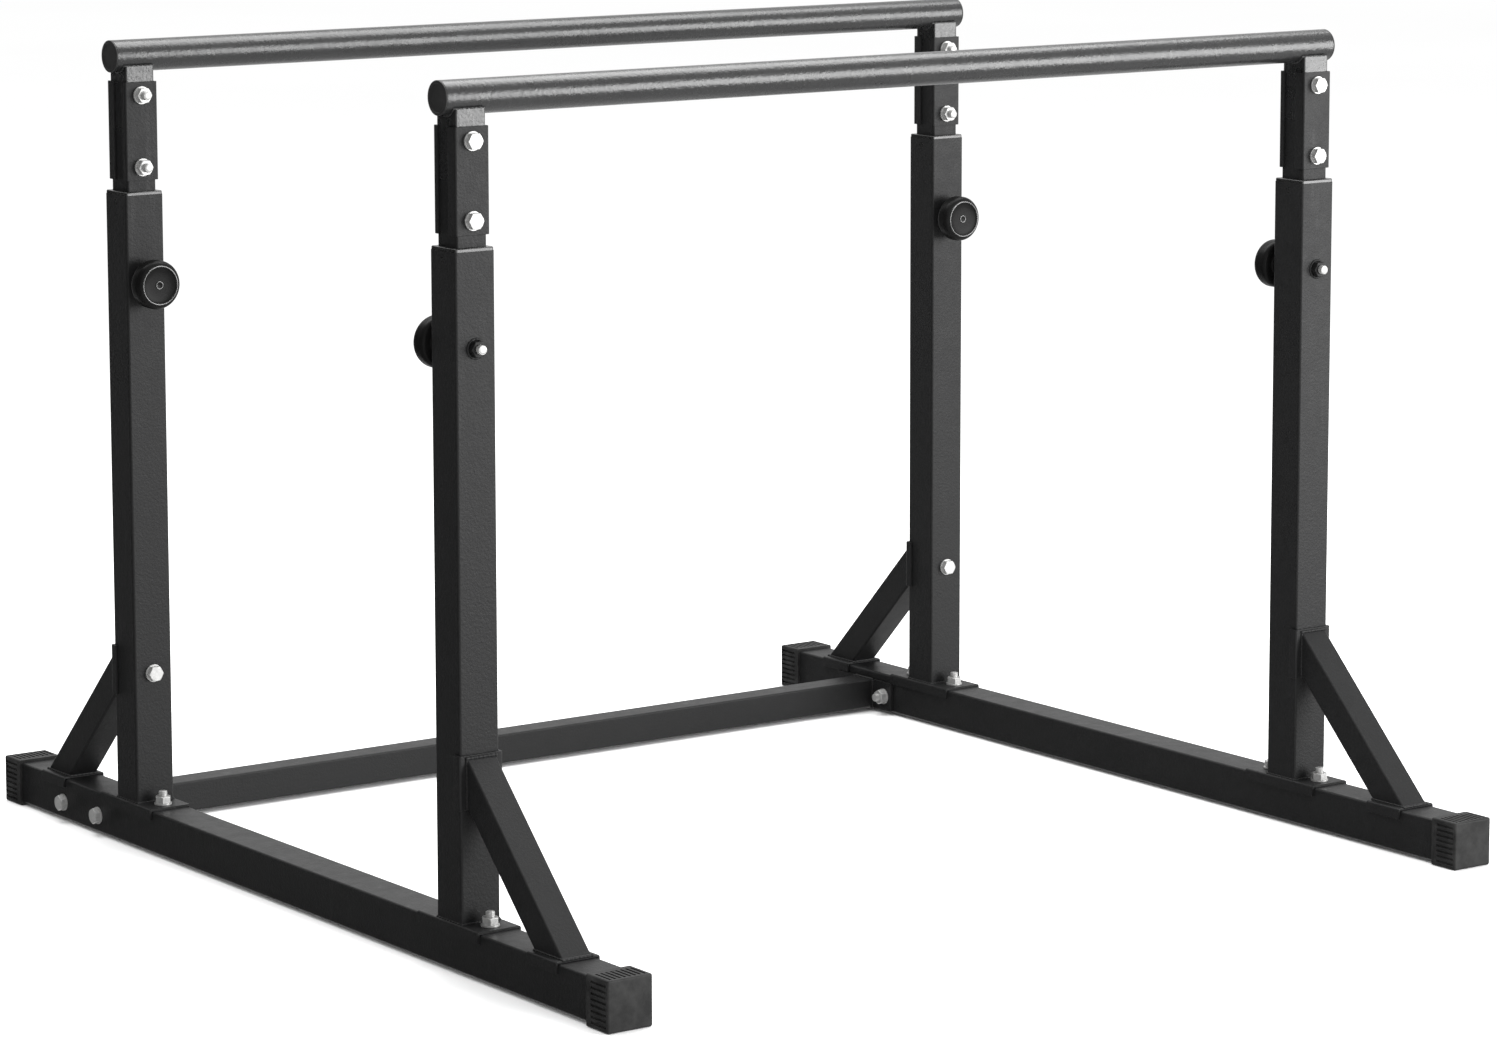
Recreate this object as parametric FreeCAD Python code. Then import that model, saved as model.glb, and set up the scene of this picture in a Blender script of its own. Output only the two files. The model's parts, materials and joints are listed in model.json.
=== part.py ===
import FreeCAD, Part
import math
import os

# A pair of height-adjustable parallel bars on one floor frame.
# Millimetres. +X runs along the grip bars, +Y runs along the floor rails towards the rear, +Z is up.
# The origin is on the floor at the middle of the frame.
# Every corner is drawn once in a corner frame, where the upright stands on the origin and +Y points
# outwards, away from the space between the bars. place() then turns and moves it to its corner.

# ---- layout ----
bar_centres = 720.0            # between the axes of the two grip bars
upright_centres = 1200.0       # between the uprights that carry one bar
upright_top = 790.0            # top edge of an upright above the floor
rail_overhang = 306.0          # steel floor rail beyond each grip bar's axis, cap not counted
bar_overhang = 30.0            # grip bar beyond the axis of its posts, end plug included
bar_rise = 159.0               # bar axis above the upright's top edge at the lowest setting
beam_from_rear_bar = 118.0     # cross beam axis behind the rear bar

# ---- steel stock ----
frame_tube = 50.0              # square tube of the rails and uprights
frame_wall = 2.5
frame_corner = 3.0             # outer corner radius of that tube
inner_tube = 38.0              # square tube of the posts, legs, braces and cross beam
inner_wall = 2.0
inner_corner = 2.5
bar_diameter = 38.0
bar_wall = 2.0
plate = 3.0                    # saddles, brace plates and the like
splice_plate = 2.5

# ---- floor rail caps ----
cap_wall = 3.5                 # rubber around the rail, which lifts the rail off the floor
cap_end = 4.0                  # rubber over the rail's open end
cap_length = 40.0              # whole cap along the rail
cap_round = 2.5                # every outer edge except at the open mouth
cap_lip = 8.0                  # plain band at the open mouth
cap_front_band = 4.0           # plain band at the closed end
groove_count = 8
groove_width = 2.6
groove_depth = 1.8

# ---- saddles and braces ----
saddle_length = 122.0
saddle_flange = 13.0           # height of the folded side, plate included
saddle_bolt_offset = 43.0      # each bolt from the upright's axis, along the rail
brace_plate_height = 60.0
brace_flange = 12.0            # depth of the folded side, plate included
brace_bolt_height = 213.0      # bolt through the upright, above the floor
brace_angle = 45.0             # from the floor
foot_margin = 1.5              # foot plate beyond the brace's footprint, at each end

# ---- cross beam ----
beam_plate = 4.0
beam_plate_length = 120.0
beam_plate_height = 38.0
beam_bolt_spacing = 88.0
beam_floor_gap = 5.0           # under the beam and its end plates

# ---- splices between leg and post ----
splice_gap = 13.0              # upright top to the splice's lower edge at the lowest setting
splice_height = 116.0
splice_bolt_spacing = 85.0
outer_flange = 15.0            # depth of the folded side, plate included
inner_flange = 8.0
leg_cope_drop = 11.5           # top of the leg's flat faces below the bar's axis

# ---- height setting ----
lock_drop = 108.0              # lock bolt's axis below the upright's top edge
hole_pitch = 40.0
hole_count = 7
post_tail = 30.0               # post below its lowest hole
bush_length = 60.0
bush_rim = 4.0                 # rim that caps the upright's edge
bush_rim_inset = 0.4
bush_rim_round = 1.5
bush_snap_drop = 13.0          # snap boss below the upright's top edge
bush_snap = 5.8                # diameter of the boss
bush_snap_clearance = 0.2
bush_fit = 0.1                 # bush to the upright, on each side
slide_clearance = 0.4          # post to the bush, on each side

# ---- fasteners ----
bolt = 10.0                    # thread diameter of every bolt
hole_clearance = 1.0           # added to the bolt for a plain hole
post_hole_clearance = 2.0      # added to the bolt for a height-setting hole
thread_clearance = 0.05        # bolt in its nut, on the radius
hex_flats = 17.0
hex_face = 0.96                # round flat on top of a hexagon, as a share of its width
hex_crown_slope = 30.0         # slope of its turned corners
head_height = 6.4
nut_height = 8.0
low_head = 20.0                # diameter of the thin round heads under the floor rails
low_head_height = 2.6
washer = 21.0
washer_thickness = 2.0
stud_end = 6.0                 # thread that shows beyond a nut

# ---- knobs ----
knob_diameter = 58.0
knob_rim = 50.0                # raised ring round the dished face
knob_neck = 32.0
knob_neck_length = 8.0
knob_depth = 33.0              # neck included
knob_dish = 3.0
knob_dimple = 4.0              # radius of the small pit at the centre
knob_dimple_depth = 1.2
lock_head_depth = 10.0         # bolt head buried in the knob, from the neck's face
body_gap = 0.3                 # between pieces that move on each other

# ---- worked out ----
bolt_hole = bolt + hole_clearance
post_hole = bolt + post_hole_clearance
bush_snap_hole = bush_snap + bush_snap_clearance
rail_length = bar_centres + 2 * rail_overhang
half_frame = frame_tube / 2
half_inner = inner_tube / 2
half_bore = half_frame - frame_wall
rail_bottom = cap_wall
rail_top = rail_bottom + frame_tube
saddle_top = rail_top + plate
lock_height = upright_top - lock_drop
bar_height = upright_top + bar_rise
splice_bottom = upright_top + splice_gap
splice_middle = splice_bottom + splice_height / 2
splice_bolt_heights = [splice_middle - splice_bolt_spacing / 2, splice_middle + splice_bolt_spacing / 2]
post_bottom = lock_height - (hole_count - 1) * hole_pitch - post_tail
rail_x = upright_centres / 2
bar_y = bar_centres / 2
beam_y = bar_y + beam_from_rear_bar
beam_axis_height = beam_floor_gap + half_inner
beam_bolt_height = beam_floor_gap + beam_plate_height / 2
bar_half_length = upright_centres / 2 + bar_overhang

# the brace runs from the plate on the upright down to the plate on the rail
brace_plate_face = half_frame + plate
brace_slope = math.tan(math.radians(brace_angle))
foot_centre = brace_plate_face + (brace_bolt_height - saddle_top) / brace_slope
foot_length = inner_tube / math.sin(math.radians(brace_angle)) + 2 * foot_margin

SIDES = {"left": -1, "right": 1}
BARS = {"front": -1, "rear": 1}
X_AXIS = FreeCAD.Vector(1, 0, 0)
Y_AXIS = FreeCAD.Vector(0, 1, 0)
Z_AXIS = FreeCAD.Vector(0, 0, 1)


def point(x, y, z):
    return FreeCAD.Vector(x, y, z)


def block(x0, x1, y0, y1, z0, z1):
    return Part.makeBox(x1 - x0, y1 - y0, z1 - z0, point(x0, y0, z0))


def rod(radius, start, length, axis):
    return Part.makeCylinder(radius, length, start, axis)


def rounded(solid, radius, axis):
    """Round the edges of a block that run along one axis."""
    edges = []
    for edge in solid.Edges:
        along = edge.tangentAt(edge.FirstParameter)
        if abs(along.dot(axis)) > 0.99:
            edges.append(edge)
    return solid.makeFillet(radius, edges)


def square_tube(size, wall, corner, start, length, axis):
    """A square tube with round corners, centred on its axis, running from start along axis."""
    half = size / 2
    inner = half - wall
    outside = rounded(block(-half, half, -half, half, 0, length), corner, Z_AXIS)
    inside = block(-inner, inner, -inner, inner, 0, length)
    inside = rounded(inside, max(corner - wall, corner / 4), Z_AXIS)
    tube = outside.cut(inside)
    tube.Placement = FreeCAD.Placement(start, FreeCAD.Rotation(Z_AXIS, axis))
    return tube


def hexagon(flats, height, base, axis):
    """A hexagonal block on base, standing along axis, with its far corners turned down to a cone."""
    corner = flats / math.sqrt(3)
    corners = []
    for step in range(7):
        turn = math.radians(60 * step)
        corners.append(point(corner * math.cos(turn), corner * math.sin(turn), 0))
    prism = Part.Face(Part.makePolygon(corners)).extrude(Z_AXIS * height)
    rim = flats / 2 * hex_face
    crown = Part.makeCone(rim + height / math.tan(math.radians(hex_crown_slope)), rim, height)
    prism = prism.common(crown)
    prism.Placement = FreeCAD.Placement(base, FreeCAD.Rotation(Z_AXIS, axis))
    return prism


def hex_bolt(seat, axis, length):
    """Head standing on seat against the axis, shank running along the axis."""
    head = hexagon(hex_flats, head_height, seat, axis * -1)
    shank = rod(bolt / 2, seat - axis * (head_height / 2), length + head_height / 2, axis)
    return head.fuse(shank).removeSplitter()


def low_bolt(seat, axis, length):
    """A bolt with a thin round head, for the narrow gap under the floor rails."""
    head = rod(low_head / 2, seat, low_head_height, axis * -1)
    shank = rod(bolt / 2, seat - axis * (low_head_height / 2), length + low_head_height / 2, axis)
    return head.fuse(shank).removeSplitter()


def nut(seat, axis):
    body = hexagon(hex_flats, nut_height, seat, axis)
    bore = rod(bolt / 2 + thread_clearance, seat - axis, nut_height + 2, axis)
    return body.cut(bore)


def flat_washer(seat, axis):
    ring = rod(washer / 2, seat, washer_thickness, axis)
    return ring.cut(rod(bolt_hole / 2, seat - axis, washer_thickness + 2, axis))


def holes_y(heights, diameter, x=0.0):
    """Drill bits along Y through a whole corner, at each height."""
    reach = frame_tube * 2
    return [rod(diameter / 2, point(x, -reach, height), 2 * reach, Y_AXIS) for height in heights]


def drilled(solid, bits):
    for bit in bits:
        solid = solid.cut(bit)
    return solid


def place(solid, side, bar):
    """Turn a piece drawn in the corner frame and move it to its corner."""
    moved = solid.copy()
    if BARS[bar] < 0:
        moved.rotate(point(0, 0, 0), Z_AXIS, 180)
    moved.translate(point(SIDES[side] * rail_x, BARS[bar] * bar_y, 0))
    return moved


def at_corners(pieces):
    """The same pieces at all four corners, as one group of solids."""
    group = []
    for bar in BARS:
        for side in SIDES:
            group += [place(piece, side, bar) for piece in pieces]
    return Part.makeCompound(group)


def save(name, shape):
    shape.exportStep("parts/" + name + ".step")


# ---- floor frame ----
def floor_rail(side):
    x = SIDES[side] * rail_x
    start = point(x, -rail_length / 2, rail_bottom + half_frame)
    rail = square_tube(frame_tube, frame_wall, frame_corner, start, rail_length, Y_AXIS)
    bits = []
    for bar in BARS:
        outward = BARS[bar]
        for offset in (-saddle_bolt_offset, saddle_bolt_offset, foot_centre):
            at = point(x, outward * (bar_y + offset), 0)
            bits.append(rod(bolt_hole / 2, at, saddle_top, Z_AXIS))
    for offset in (-beam_bolt_spacing / 2, beam_bolt_spacing / 2):
        at = point(x - frame_tube, beam_y + offset, beam_bolt_height)
        bits.append(rod(bolt_hole / 2, at, 2 * frame_tube, X_AXIS))
    return drilled(rail, bits)


def rail_cap(side, bar):
    """Rubber cap over one rail end, with grooves along its sides and top."""
    half = half_frame + cap_wall
    height = frame_tube + 2 * cap_wall
    end = rail_length / 2 + cap_end
    mouth = end - cap_length
    body = block(-half, half, mouth, end, 0, height)
    edges = [edge for edge in body.Edges if edge.BoundBox.YMax > mouth + cap_round]
    body = body.makeFillet(cap_round, edges)
    socket = block(-half_frame, half_frame, 0, rail_length / 2, rail_bottom, rail_top)
    socket = rounded(socket, frame_corner, Y_AXIS)
    cuts = [socket]
    pitch = frame_tube / groove_count
    start = mouth + cap_lip
    stop = end - cap_front_band
    for step in range(groove_count):
        middle = (step - (groove_count - 1) / 2) * pitch
        low = middle - groove_width / 2
        high = middle + groove_width / 2
        z = rail_bottom + half_frame
        for edge in (-half, half - groove_depth):
            cuts.append(block(edge, edge + groove_depth, start, stop, z + low, z + high))
        cuts.append(block(low, high, start, stop, height - groove_depth, height))
    cap = drilled(body, cuts)
    if BARS[bar] < 0:
        cap.rotate(point(0, 0, 0), Z_AXIS, 180)
    cap.translate(point(SIDES[side] * rail_x, 0, 0))
    return cap


def cross_beam():
    reach = rail_x - half_frame - beam_plate
    start = point(-reach, beam_y, beam_axis_height)
    return square_tube(inner_tube, inner_wall, inner_corner, start, 2 * reach, X_AXIS)


def cross_beam_end_plates():
    plates = []
    for side in SIDES:
        face = SIDES[side] * (rail_x - half_frame)
        back = face - SIDES[side] * beam_plate
        half = beam_plate_length / 2
        low = beam_floor_gap
        high = beam_floor_gap + beam_plate_height
        solid = block(min(face, back), max(face, back), beam_y - half, beam_y + half, low, high)
        for offset in (-beam_bolt_spacing / 2, beam_bolt_spacing / 2):
            at = point(min(face, back) - 1, beam_y + offset, beam_bolt_height)
            solid = solid.cut(rod(bolt_hole / 2, at, beam_plate + 2, X_AXIS))
        plates.append(solid)
    return Part.makeCompound(plates)


def beam_fasteners():
    """Bolts from the outer face of each rail through the beam's end plates, with nuts and washers."""
    bolts, nuts, washers = [], [], []
    for side in SIDES:
        inward = X_AXIS * -SIDES[side]
        for offset in (-beam_bolt_spacing / 2, beam_bolt_spacing / 2):
            outer = point(SIDES[side] * (rail_x + half_frame), beam_y + offset, beam_bolt_height)
            inner = outer + inward * (frame_tube + beam_plate)
            washers.append(flat_washer(outer, inward * -1))
            washers.append(flat_washer(inner, inward))
            seat = outer - inward * washer_thickness
            grip = frame_tube + beam_plate + 2 * washer_thickness
            bolts.append(hex_bolt(seat, inward, grip + nut_height + stud_end))
            nuts.append(nut(inner + inward * washer_thickness, inward))
    return bolts, nuts, washers


# ---- one corner of the frame, in the corner frame ----
def upright():
    start = point(0, 0, saddle_top)
    length = upright_top - bush_rim - saddle_top
    tube = square_tube(frame_tube, frame_wall, frame_corner, start, length, Z_AXIS)
    tube = drilled(tube, holes_y([lock_height, brace_bolt_height], bolt_hole))
    snap = rod(bush_snap_hole / 2, point(-frame_tube, 0, upright_top - bush_snap_drop), 2 * frame_tube, X_AXIS)
    return tube.cut(snap)


def guide_bush():
    """Plastic sleeve with a rim, held in the upright's mouth by a snap boss in each side hole."""
    outer = half_bore - bush_fit
    inner = half_inner + slide_clearance
    low = upright_top - bush_length
    sleeve = rounded(block(-outer, outer, -outer, outer, low, upright_top), frame_corner / 2, Z_AXIS)
    reach = half_frame - bush_rim_inset
    rim_bottom = upright_top - bush_rim
    rim = rounded(block(-reach, reach, -reach, reach, rim_bottom, upright_top), frame_corner, Z_AXIS)
    upper_edges = [edge for edge in rim.Edges if edge.BoundBox.ZMin > rim_bottom + bush_rim / 2]
    sleeve = sleeve.fuse(rim.makeFillet(bush_rim_round, upper_edges))
    snap_at = point(-half_frame + bush_fit, 0, upright_top - bush_snap_drop)
    sleeve = sleeve.fuse(rod(bush_snap / 2, snap_at, frame_tube - 2 * bush_fit, X_AXIS))
    return sleeve.cut(rounded(block(-inner, inner, -inner, inner, low, upright_top), inner_corner / 2, Z_AXIS))


def saddle():
    """Channel over the rail that the upright is welded on."""
    half = saddle_length / 2
    outer = half_frame + plate
    solid = rounded(block(-outer, outer, -half, half, 0, saddle_top), plate, Y_AXIS)
    solid = solid.cut(block(-half_frame, half_frame, -half, half, 0, rail_top))
    solid = solid.cut(block(-outer, outer, -half, half, 0, saddle_top - saddle_flange))
    bits = []
    for offset in (-saddle_bolt_offset, saddle_bolt_offset):
        bits.append(rod(bolt_hole / 2, point(0, offset, 0), 2 * saddle_top, Z_AXIS))
    return drilled(solid, bits)


def brace():
    """Diagonal tube, cut square to the upright at the top and level at the foot."""
    reach = 2 * (foot_centre + brace_bolt_height)
    angle = math.radians(brace_angle)
    along = point(0, math.cos(angle), -math.sin(angle))
    top = point(0, brace_plate_face, brace_bolt_height)
    tube = square_tube(inner_tube, inner_wall, inner_corner, point(0, 0, 0), reach, Z_AXIS)
    tube.Placement = FreeCAD.Placement(top - along * (reach / 4), FreeCAD.Rotation(Z_AXIS, along))
    room = block(-half_inner, half_inner, brace_plate_face, reach, saddle_top, reach)
    return tube.common(room)


def brace_upright_plate():
    outer = half_frame + plate
    half = brace_plate_height / 2
    low = brace_bolt_height - half
    high = brace_bolt_height + half
    solid = rounded(block(-outer, outer, 0, outer, low, high), plate, Z_AXIS)
    solid = solid.cut(block(-half_frame, half_frame, 0, half_frame, low, high))
    solid = solid.cut(block(-outer, outer, 0, outer - brace_flange, low, high))
    return drilled(solid, holes_y([brace_bolt_height], bolt_hole))


def brace_rail_plate():
    outer = half_frame + plate
    near = foot_centre - foot_length / 2
    far = foot_centre + foot_length / 2
    solid = rounded(block(-outer, outer, near, far, 0, saddle_top), plate, Y_AXIS)
    solid = solid.cut(block(-half_frame, half_frame, near, far, 0, rail_top))
    solid = solid.cut(block(-outer, outer, near, far, 0, saddle_top - saddle_flange))
    return solid.cut(rod(bolt_hole / 2, point(0, foot_centre, 0), 2 * saddle_top, Z_AXIS))


def saddle_fasteners():
    bolts, nuts, washers = [], [], []
    grip = saddle_top - rail_bottom + washer_thickness
    for offset in (-saddle_bolt_offset, saddle_bolt_offset):
        seat = point(0, offset, saddle_top)
        bolts.append(low_bolt(point(0, offset, rail_bottom), Z_AXIS, grip + nut_height + stud_end))
        washers.append(flat_washer(seat, Z_AXIS))
        nuts.append(nut(seat + Z_AXIS * washer_thickness, Z_AXIS))
    return bolts, nuts, washers


def brace_fasteners():
    """A bolt through the upright and one up through the rail, into nuts welded inside the brace."""
    inner_face = point(0, -half_frame, brace_bolt_height)
    grip = frame_tube + plate + washer_thickness
    through_upright = hex_bolt(inner_face - Y_AXIS * washer_thickness, Y_AXIS, grip + nut_height + stud_end)
    through_rail = low_bolt(point(0, foot_centre, rail_bottom), Z_AXIS,
                            saddle_top - rail_bottom + nut_height + stud_end)
    nuts = [nut(point(0, brace_plate_face, brace_bolt_height), Y_AXIS),
            nut(point(0, foot_centre, saddle_top), Z_AXIS)]
    return [through_upright, through_rail], nuts, [flat_washer(inner_face, Y_AXIS * -1)]


# ---- one bar with its legs and posts ----
def grip_bar(bar):
    reach = bar_half_length - bar_wall
    start = point(-reach, BARS[bar] * bar_y, bar_height)
    tube = rod(bar_diameter / 2, start, 2 * reach, X_AXIS)
    return tube.cut(rod(bar_diameter / 2 - bar_wall, start, 2 * reach, X_AXIS))


def bar_end_plugs(bar):
    """Push-in plugs whose flange is as wide as the bar."""
    plugs = []
    for side in SIDES:
        outward = X_AXIS * SIDES[side]
        face = point(SIDES[side] * (bar_half_length - bar_wall), BARS[bar] * bar_y, bar_height)
        flange = rod(bar_diameter / 2, face, bar_wall, outward)
        stem = rod(bar_diameter / 2 - bar_wall - bush_fit, face, bar_diameter / 2, outward * -1)
        plugs.append(flange.fuse(stem))
    return Part.makeCompound(plugs)


def leg():
    """Short tube under the bar, coped to fit round it."""
    length = bar_height - leg_cope_drop - splice_middle
    tube = square_tube(inner_tube, inner_wall, inner_corner, point(0, 0, splice_middle), length, Z_AXIS)
    tube = tube.cut(rod(bar_diameter / 2, point(-frame_tube, 0, bar_height), 2 * frame_tube, X_AXIS))
    return drilled(tube, holes_y(splice_bolt_heights, bolt_hole))


def post():
    start = point(0, 0, post_bottom)
    tube = square_tube(inner_tube, inner_wall, inner_corner, start, splice_middle - post_bottom, Z_AXIS)
    row = [lock_height - step * hole_pitch for step in range(hole_count)]
    tube = drilled(tube, holes_y(row, post_hole))
    return drilled(tube, holes_y(splice_bolt_heights, bolt_hole))


def splice(flange):
    """Folded plate over the joint between leg and post; it stands on the outward face."""
    outer = half_inner + splice_plate
    top = splice_bottom + splice_height
    solid = rounded(block(-outer, outer, 0, outer, splice_bottom, top), splice_plate, Z_AXIS)
    solid = solid.cut(block(-half_inner, half_inner, 0, half_inner, splice_bottom, top))
    solid = solid.cut(block(-outer, outer, 0, outer - flange, splice_bottom, top))
    return drilled(solid, holes_y(splice_bolt_heights, bolt_hole))


def turned_inward(solid):
    turned = solid.copy()
    turned.rotate(point(0, 0, 0), Z_AXIS, 180)
    return turned


def splice_fasteners():
    bolts, nuts, washers = [], [], []
    face = half_inner + splice_plate
    grip = 2 * face + 2 * washer_thickness
    for height in splice_bolt_heights:
        outer = point(0, face, height)
        inner = point(0, -face, height)
        washers.append(flat_washer(outer, Y_AXIS))
        washers.append(flat_washer(inner, Y_AXIS * -1))
        bolts.append(hex_bolt(outer + Y_AXIS * washer_thickness, Y_AXIS * -1, grip + nut_height + stud_end))
        nuts.append(nut(inner - Y_AXIS * washer_thickness, Y_AXIS * -1))
    return bolts, nuts, washers


# ---- lock on the inner face of each upright ----
washer_face = -(half_frame + body_gap)
neck_face = washer_face - washer_thickness - body_gap


def lock_washer():
    seat = point(0, washer_face, lock_height)
    ring = rod(washer / 2, seat, washer_thickness, Y_AXIS * -1)
    return ring.cut(rod(bolt / 2 + body_gap, seat + Y_AXIS, washer_thickness + 2, Y_AXIS * -1))


def lock_bolt():
    """Bolt that the knob turns: head buried in the knob, tip showing beyond the welded nut."""
    seat = point(0, neck_face - lock_head_depth, lock_height)
    tip = half_frame + nut_height + stud_end
    return hex_bolt(seat, Y_AXIS, tip - seat.y)


def knob():
    """Round moulded knob, turned about the bolt's axis, with a dished face inside a raised ring."""
    radius = knob_diameter / 2
    neck = knob_neck / 2
    rim = knob_rim / 2
    rim_width = 1.5
    shoulder = knob_neck_length + 4.0
    edge = 3.0
    floor = knob_depth - knob_dish
    inner_rim = rim - rim_width

    def at(across, out):
        return point(across, neck_face - out, lock_height)

    outline = [
        Part.LineSegment(at(0, 0), at(neck, 0)),
        Part.LineSegment(at(neck, 0), at(neck, knob_neck_length)),
        Part.Arc(at(neck, knob_neck_length), at(radius - 5, knob_neck_length + 1.2), at(radius, shoulder + 3)),
        Part.LineSegment(at(radius, shoulder + 3), at(radius, floor - edge)),
        Part.Arc(at(radius, floor - edge), at(radius - 1, floor - 0.6), at(rim, knob_depth)),
        Part.LineSegment(at(rim, knob_depth), at(inner_rim, knob_depth)),
        Part.LineSegment(at(inner_rim, knob_depth), at(inner_rim, knob_depth - 1)),
        Part.Arc(at(inner_rim, knob_depth - 1), at(rim / 2, floor + 0.4), at(knob_dimple, floor)),
        Part.LineSegment(at(knob_dimple, floor), at(0, floor - knob_dimple_depth)),
        Part.LineSegment(at(0, floor - knob_dimple_depth), at(0, 0)),
    ]
    half_section = Part.Face(Part.Wire([piece.toShape() for piece in outline]))
    body = half_section.revolve(point(0, 0, lock_height), Y_AXIS, 360)
    return body.cut(lock_bolt())


# ---- write every node ----
os.makedirs("parts", exist_ok=True)

for side in SIDES:
    save(side + "_floor_rail", floor_rail(side))
save("cross_beam", cross_beam())
save("cross_beam_end_plates", cross_beam_end_plates())
save("upright_saddles", at_corners([saddle()]))
save("brace_upright_plates", at_corners([brace_upright_plate()]))
save("brace_rail_plates", at_corners([brace_rail_plate()]))
save("guide_bushes", at_corners([guide_bush()]))
save("lock_weld_nuts", at_corners([nut(point(0, half_frame, lock_height), Y_AXIS)]))

saddle_bolts, saddle_nuts, saddle_washers = saddle_fasteners()
brace_bolts, brace_nuts, brace_washers = brace_fasteners()
beam_bolts, beam_nuts, beam_washers = beam_fasteners()
save("saddle_bolts", at_corners(saddle_bolts))
save("saddle_nuts", at_corners(saddle_nuts))
save("brace_bolts", at_corners(brace_bolts))
save("brace_weld_nuts", at_corners(brace_nuts))
save("beam_bolts", Part.makeCompound(beam_bolts))
save("beam_nuts", Part.makeCompound(beam_nuts))
corner_washers = at_corners(saddle_washers + brace_washers)
save("frame_washers", Part.makeCompound(corner_washers.Solids + beam_washers))

for bar in BARS:
    for side in SIDES:
        corner = bar + "_" + side + "_"
        save(corner + "rail_cap", rail_cap(side, bar))
        save(corner + "upright", place(upright(), side, bar))
        save(corner + "brace", place(brace(), side, bar))
        save(corner + "post", place(post(), side, bar))
        save(corner + "lock_washer", place(lock_washer(), side, bar))
        save(corner + "lock_bolt", place(lock_bolt(), side, bar))
        save(corner + "knob", place(knob(), side, bar))

    splice_bolts, splice_nuts, splice_washers = splice_fasteners()
    pairs = {
        "legs": [leg()],
        "outer_splices": [splice(outer_flange)],
        "inner_splices": [turned_inward(splice(inner_flange))],
        "splice_bolts": splice_bolts,
        "splice_nuts": splice_nuts,
        "splice_washers": splice_washers,
    }
    save(bar + "_bar", grip_bar(bar))
    save(bar + "_bar_end_plugs", bar_end_plugs(bar))
    for name, pieces in pairs.items():
        solids = [place(piece, side, bar) for side in SIDES for piece in pieces]
        save(bar + "_" + name, Part.makeCompound(solids))
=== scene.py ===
# %% [markdown]
# # A pair of adjustable parallel bars
# The steel frame, its posts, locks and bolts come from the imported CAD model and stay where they
# are. This lesson dresses them: it softens the cut edges, lays weld beads, cuts threads, turns
# the knobs and end plugs, and gives every surface a finish that is built from nodes. Lengths are
# in metres. +X runs along the bars, +Y along the floor rails, +Z is up, and the floor is at zero.

# %% Load the frame
import json
import math

import bpy
from mathutils import Matrix, Vector


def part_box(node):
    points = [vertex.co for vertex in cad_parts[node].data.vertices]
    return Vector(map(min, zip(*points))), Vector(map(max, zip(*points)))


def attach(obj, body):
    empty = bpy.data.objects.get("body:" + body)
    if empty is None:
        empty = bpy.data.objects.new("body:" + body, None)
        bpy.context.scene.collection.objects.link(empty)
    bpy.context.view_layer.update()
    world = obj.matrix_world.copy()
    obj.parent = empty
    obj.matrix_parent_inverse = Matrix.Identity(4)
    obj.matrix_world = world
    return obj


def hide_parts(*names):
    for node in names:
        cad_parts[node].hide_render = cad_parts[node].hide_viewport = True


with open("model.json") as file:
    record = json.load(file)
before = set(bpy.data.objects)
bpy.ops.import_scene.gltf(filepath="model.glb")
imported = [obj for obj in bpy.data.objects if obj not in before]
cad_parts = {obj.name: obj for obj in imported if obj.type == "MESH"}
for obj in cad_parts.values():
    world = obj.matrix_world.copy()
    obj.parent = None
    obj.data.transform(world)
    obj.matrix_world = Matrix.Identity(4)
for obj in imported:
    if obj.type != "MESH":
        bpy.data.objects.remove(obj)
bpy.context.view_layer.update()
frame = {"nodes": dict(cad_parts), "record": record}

nodes = frame["nodes"]

# %% [markdown]
# ## Where things are
# Every place below is read from the CAD nodes' boxes, so nothing is measured twice. All four
# corners of the stand are the same, so most pieces are drawn once in a corner frame: the upright
# stands on the origin and +Y points outwards, away from the space between the bars. A turn and a
# shift then put a copy at each corner.

# %% Sizes read from the CAD, and a few that are set here
MM = 0.001
SIDES = {"left": -1, "right": 1}
BARS = {"front": -1, "rear": 1}
CORNERS = [(bar, side) for bar in BARS for side in SIDES]


def middle(node):
    low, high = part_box(node)
    return (low + high) / 2


def span(node):
    low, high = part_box(node)
    return high - low


upright_axis = middle("rear_right_upright")
half_frame = span("rear_right_upright").x / 2
saddle_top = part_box("rear_right_upright")[0].z
half_inner = span("rear_right_post").x / 2
bar_axis = middle("rear_bar")
bar_radius = span("rear_bar").z / 2
lock_height = middle("rear_right_lock_bolt").z
HALF_HEX = 8.5 * MM          # half a nut's width across its flats
NUT_HEIGHT = 8.0 * MM
TOUCHING = 0.01 * MM         # points closer than this are one point
print("upright at", upright_axis.xy, "lock height", round(lock_height, 4))

# %% Copies at the corners
def corner_matrix(bar, side):
    """Turns the corner frame outwards and moves it to one corner."""
    turn = Matrix.Rotation(math.pi if BARS[bar] < 0 else 0.0, 4, "Z")
    corner = (SIDES[side] * upright_axis.x, BARS[bar] * upright_axis.y, 0)
    return Matrix.Translation(corner) @ turn


def pick(*pieces):
    """Selects these pieces and nothing else."""
    bpy.ops.object.select_all(action="DESELECT")
    for piece in pieces:
        piece.select_set(True)
    bpy.context.view_layer.objects.active = pieces[0]


def copy_of(piece, name, matrix):
    """A copy with a mesh of its own, moved in its mesh so that its object stays at the origin."""
    copy = piece.copy()
    copy.data = piece.data.copy()
    copy.name = name
    bpy.context.scene.collection.objects.link(copy)
    copy.data.transform(matrix)
    return copy


def discard(piece):
    bpy.data.objects.remove(piece)


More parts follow.
